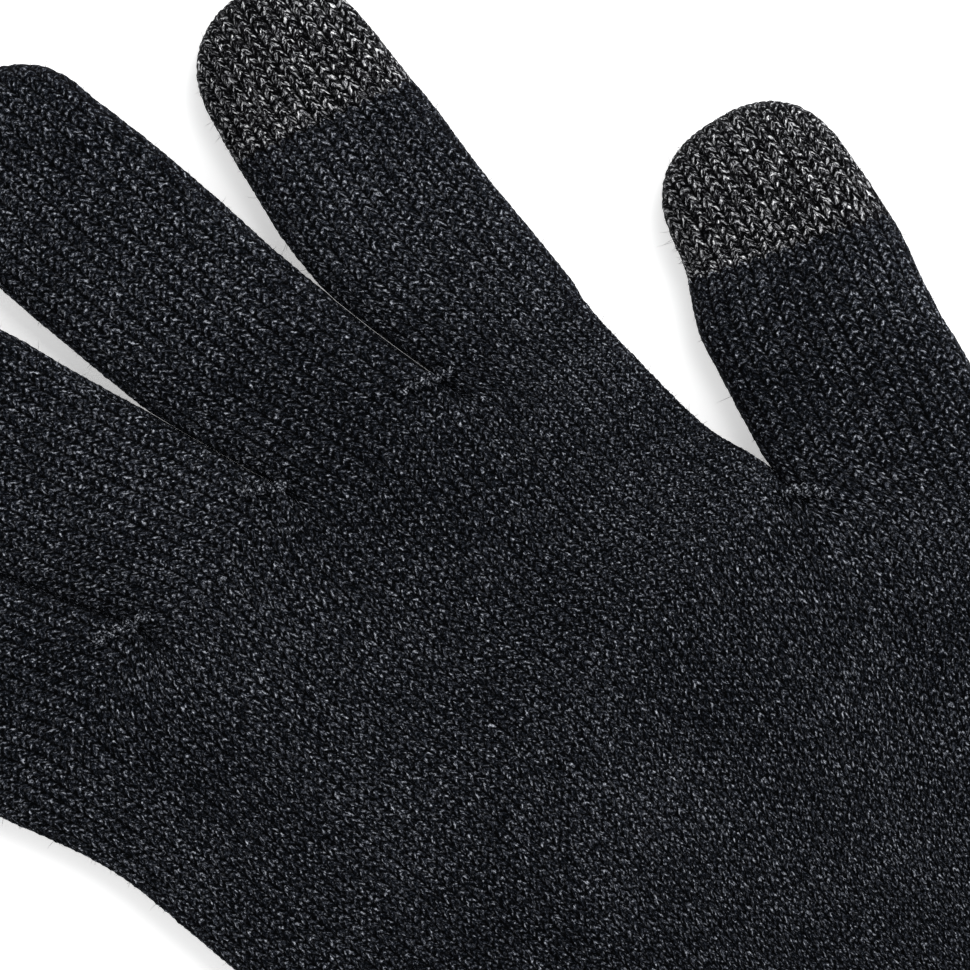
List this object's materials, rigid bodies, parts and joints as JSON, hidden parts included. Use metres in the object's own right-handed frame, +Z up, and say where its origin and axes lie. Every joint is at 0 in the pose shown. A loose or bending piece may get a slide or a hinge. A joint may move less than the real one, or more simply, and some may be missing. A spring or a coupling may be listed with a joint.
{
  "type": "touchscreen glove",
  "caption": "Flat-knit glove with fold lines at every finger joint, conductive yarn tips on index finger and thumb, crotch tacks and a ribbed elastic cuff.",
  "frame": {"origin": "on the underside, in the middle of the palm, on the surface that the glove lies on", "axes": "+Y from the wrist to the fingertips, +X towards the thumb, +Z up out of the palm side, where the touch pads are"},
  "size_m": [0.1691, 0.2629, 0.0125],
  "materials": {
    "body_yarn": "marled charcoal and black flat-knit acrylic and wool blend, matt",
    "conductive_yarn": "black yarn plied with bright silver-coated filament, plain knit",
    "rib_yarn": "marled charcoal and black rib knit, matt",
    "elastic": "covered elastic yarn, laid in flat",
    "label_tape": "blank woven polyester label tape, slightly glossy",
    "thread": "twisted black sewing yarn"
  },
  "bodies": {
    "hand": {"palm_tube": "body_yarn", "tack_middle_index": "thread", "tack_ring_middle": "thread", "tack_little_ring": "thread", "tack_thumb_web": "thread"},
    "cuff": {"rib_cuff": "rib_yarn", "cuff_elastic_1": "elastic", "cuff_elastic_2": "elastic", "cuff_elastic_3": "elastic", "cuff_overlock_edge": "thread", "care_label": "label_tape", "label_stitching": "thread"},
    "index_proximal": {"index_proximal": "body_yarn"},
    "index_middle": {"index_middle": "body_yarn"},
    "index_end": {"index_conductive_tip": "conductive_yarn"},
    "middle_proximal": {"middle_proximal": "body_yarn"},
    "middle_middle": {"middle_middle": "body_yarn"},
    "middle_end": {"middle_distal": "body_yarn"},
    "ring_proximal": {"ring_proximal": "body_yarn"},
    "ring_middle": {"ring_middle": "body_yarn"},
    "ring_end": {"ring_distal": "body_yarn"},
    "little_proximal": {"little_proximal": "body_yarn"},
    "little_middle": {"little_middle": "body_yarn"},
    "little_end": {"little_distal": "body_yarn"},
    "thumb_base": {"thumb_base": "body_yarn"},
    "thumb_end": {"thumb_distal": "body_yarn", "thumb_conductive_tip": "conductive_yarn"}
  },
  "joints": [
    {"name": "wrist_fold", "type": "hinge", "parent": "hand", "child": "cuff", "pos_m": [0, -0.0702, 0.011], "axis": [-1, 0, 0], "range_deg": [0, 70]},
    {"name": "index_knuckle_fold", "type": "hinge", "parent": "hand", "child": "index_proximal", "pos_m": [0.04532, 0.055, 0.0096], "axis": [1, 0, 0], "range_deg": [0, 80]},
    {"name": "index_middle_fold", "type": "hinge", "parent": "index_proximal", "child": "index_middle", "pos_m": [0.04876, 0.07062, 0.0096], "axis": [0.9739, -0.227, 0], "range_deg": [0, 85]},
    {"name": "index_tip_fold", "type": "hinge", "parent": "index_middle", "child": "index_end", "pos_m": [0.05271, 0.08665, 0.0096], "axis": [0.968, -0.2511, 0], "range_deg": [0, 45]},
    {"name": "middle_knuckle_fold", "type": "hinge", "parent": "hand", "child": "middle_proximal", "pos_m": [0.0172, 0.0645, 0.0096], "axis": [1, 0, 0], "range_deg": [0, 80]},
    {"name": "middle_middle_fold", "type": "hinge", "parent": "middle_proximal", "child": "middle_middle", "pos_m": [0.01752, 0.0875, 0.0096], "axis": [0.9999, -0.014, 0], "range_deg": [0, 85]},
    {"name": "middle_tip_fold", "type": "hinge", "parent": "middle_middle", "child": "middle_end", "pos_m": [0.01781, 0.108, 0.0096], "axis": [0.9999, -0.014, 0], "range_deg": [0, 45]},
    {"name": "ring_knuckle_fold", "type": "hinge", "parent": "hand", "child": "ring_proximal", "pos_m": [-0.01221, 0.067, 0.0096], "axis": [1, 0, 0], "range_deg": [0, 80]},
    {"name": "ring_middle_fold", "type": "hinge", "parent": "ring_proximal", "child": "ring_middle", "pos_m": [-0.01542, 0.08623, 0.0096], "axis": [0.9863, 0.165, 0], "range_deg": [0, 85]},
    {"name": "ring_tip_fold", "type": "hinge", "parent": "ring_middle", "child": "ring_end", "pos_m": [-0.01839, 0.10399, 0.0096], "axis": [0.9863, 0.165, 0], "range_deg": [0, 45]},
    {"name": "little_knuckle_fold", "type": "hinge", "parent": "hand", "child": "little_proximal", "pos_m": [-0.04392, 0.066, 0.0096], "axis": [1, 0, 0], "range_deg": [0, 80]},
    {"name": "little_middle_fold", "type": "hinge", "parent": "little_proximal", "child": "little_middle", "pos_m": [-0.0485, 0.07923, 0.0096], "axis": [0.9434, 0.3316, 0], "range_deg": [0, 85]},
    {"name": "little_tip_fold", "type": "hinge", "parent": "little_middle", "child": "little_end", "pos_m": [-0.05287, 0.09147, 0.0096], "axis": [0.9402, 0.3407, 0], "range_deg": [0, 45]},
    {"name": "thumb_root_fold", "type": "hinge", "parent": "hand", "child": "thumb_base", "pos_m": [0.0682, -0.0106, 0.0101], "axis": [0.766, -0.6428, 0], "range_deg": [0, 90]},
    {"name": "thumb_tip_fold", "type": "hinge", "parent": "thumb_base", "child": "thumb_end", "pos_m": [0.08081, 0.01772, 0.0101], "axis": [0.9135, -0.4067, 0], "range_deg": [0, 70]}
  ]
}
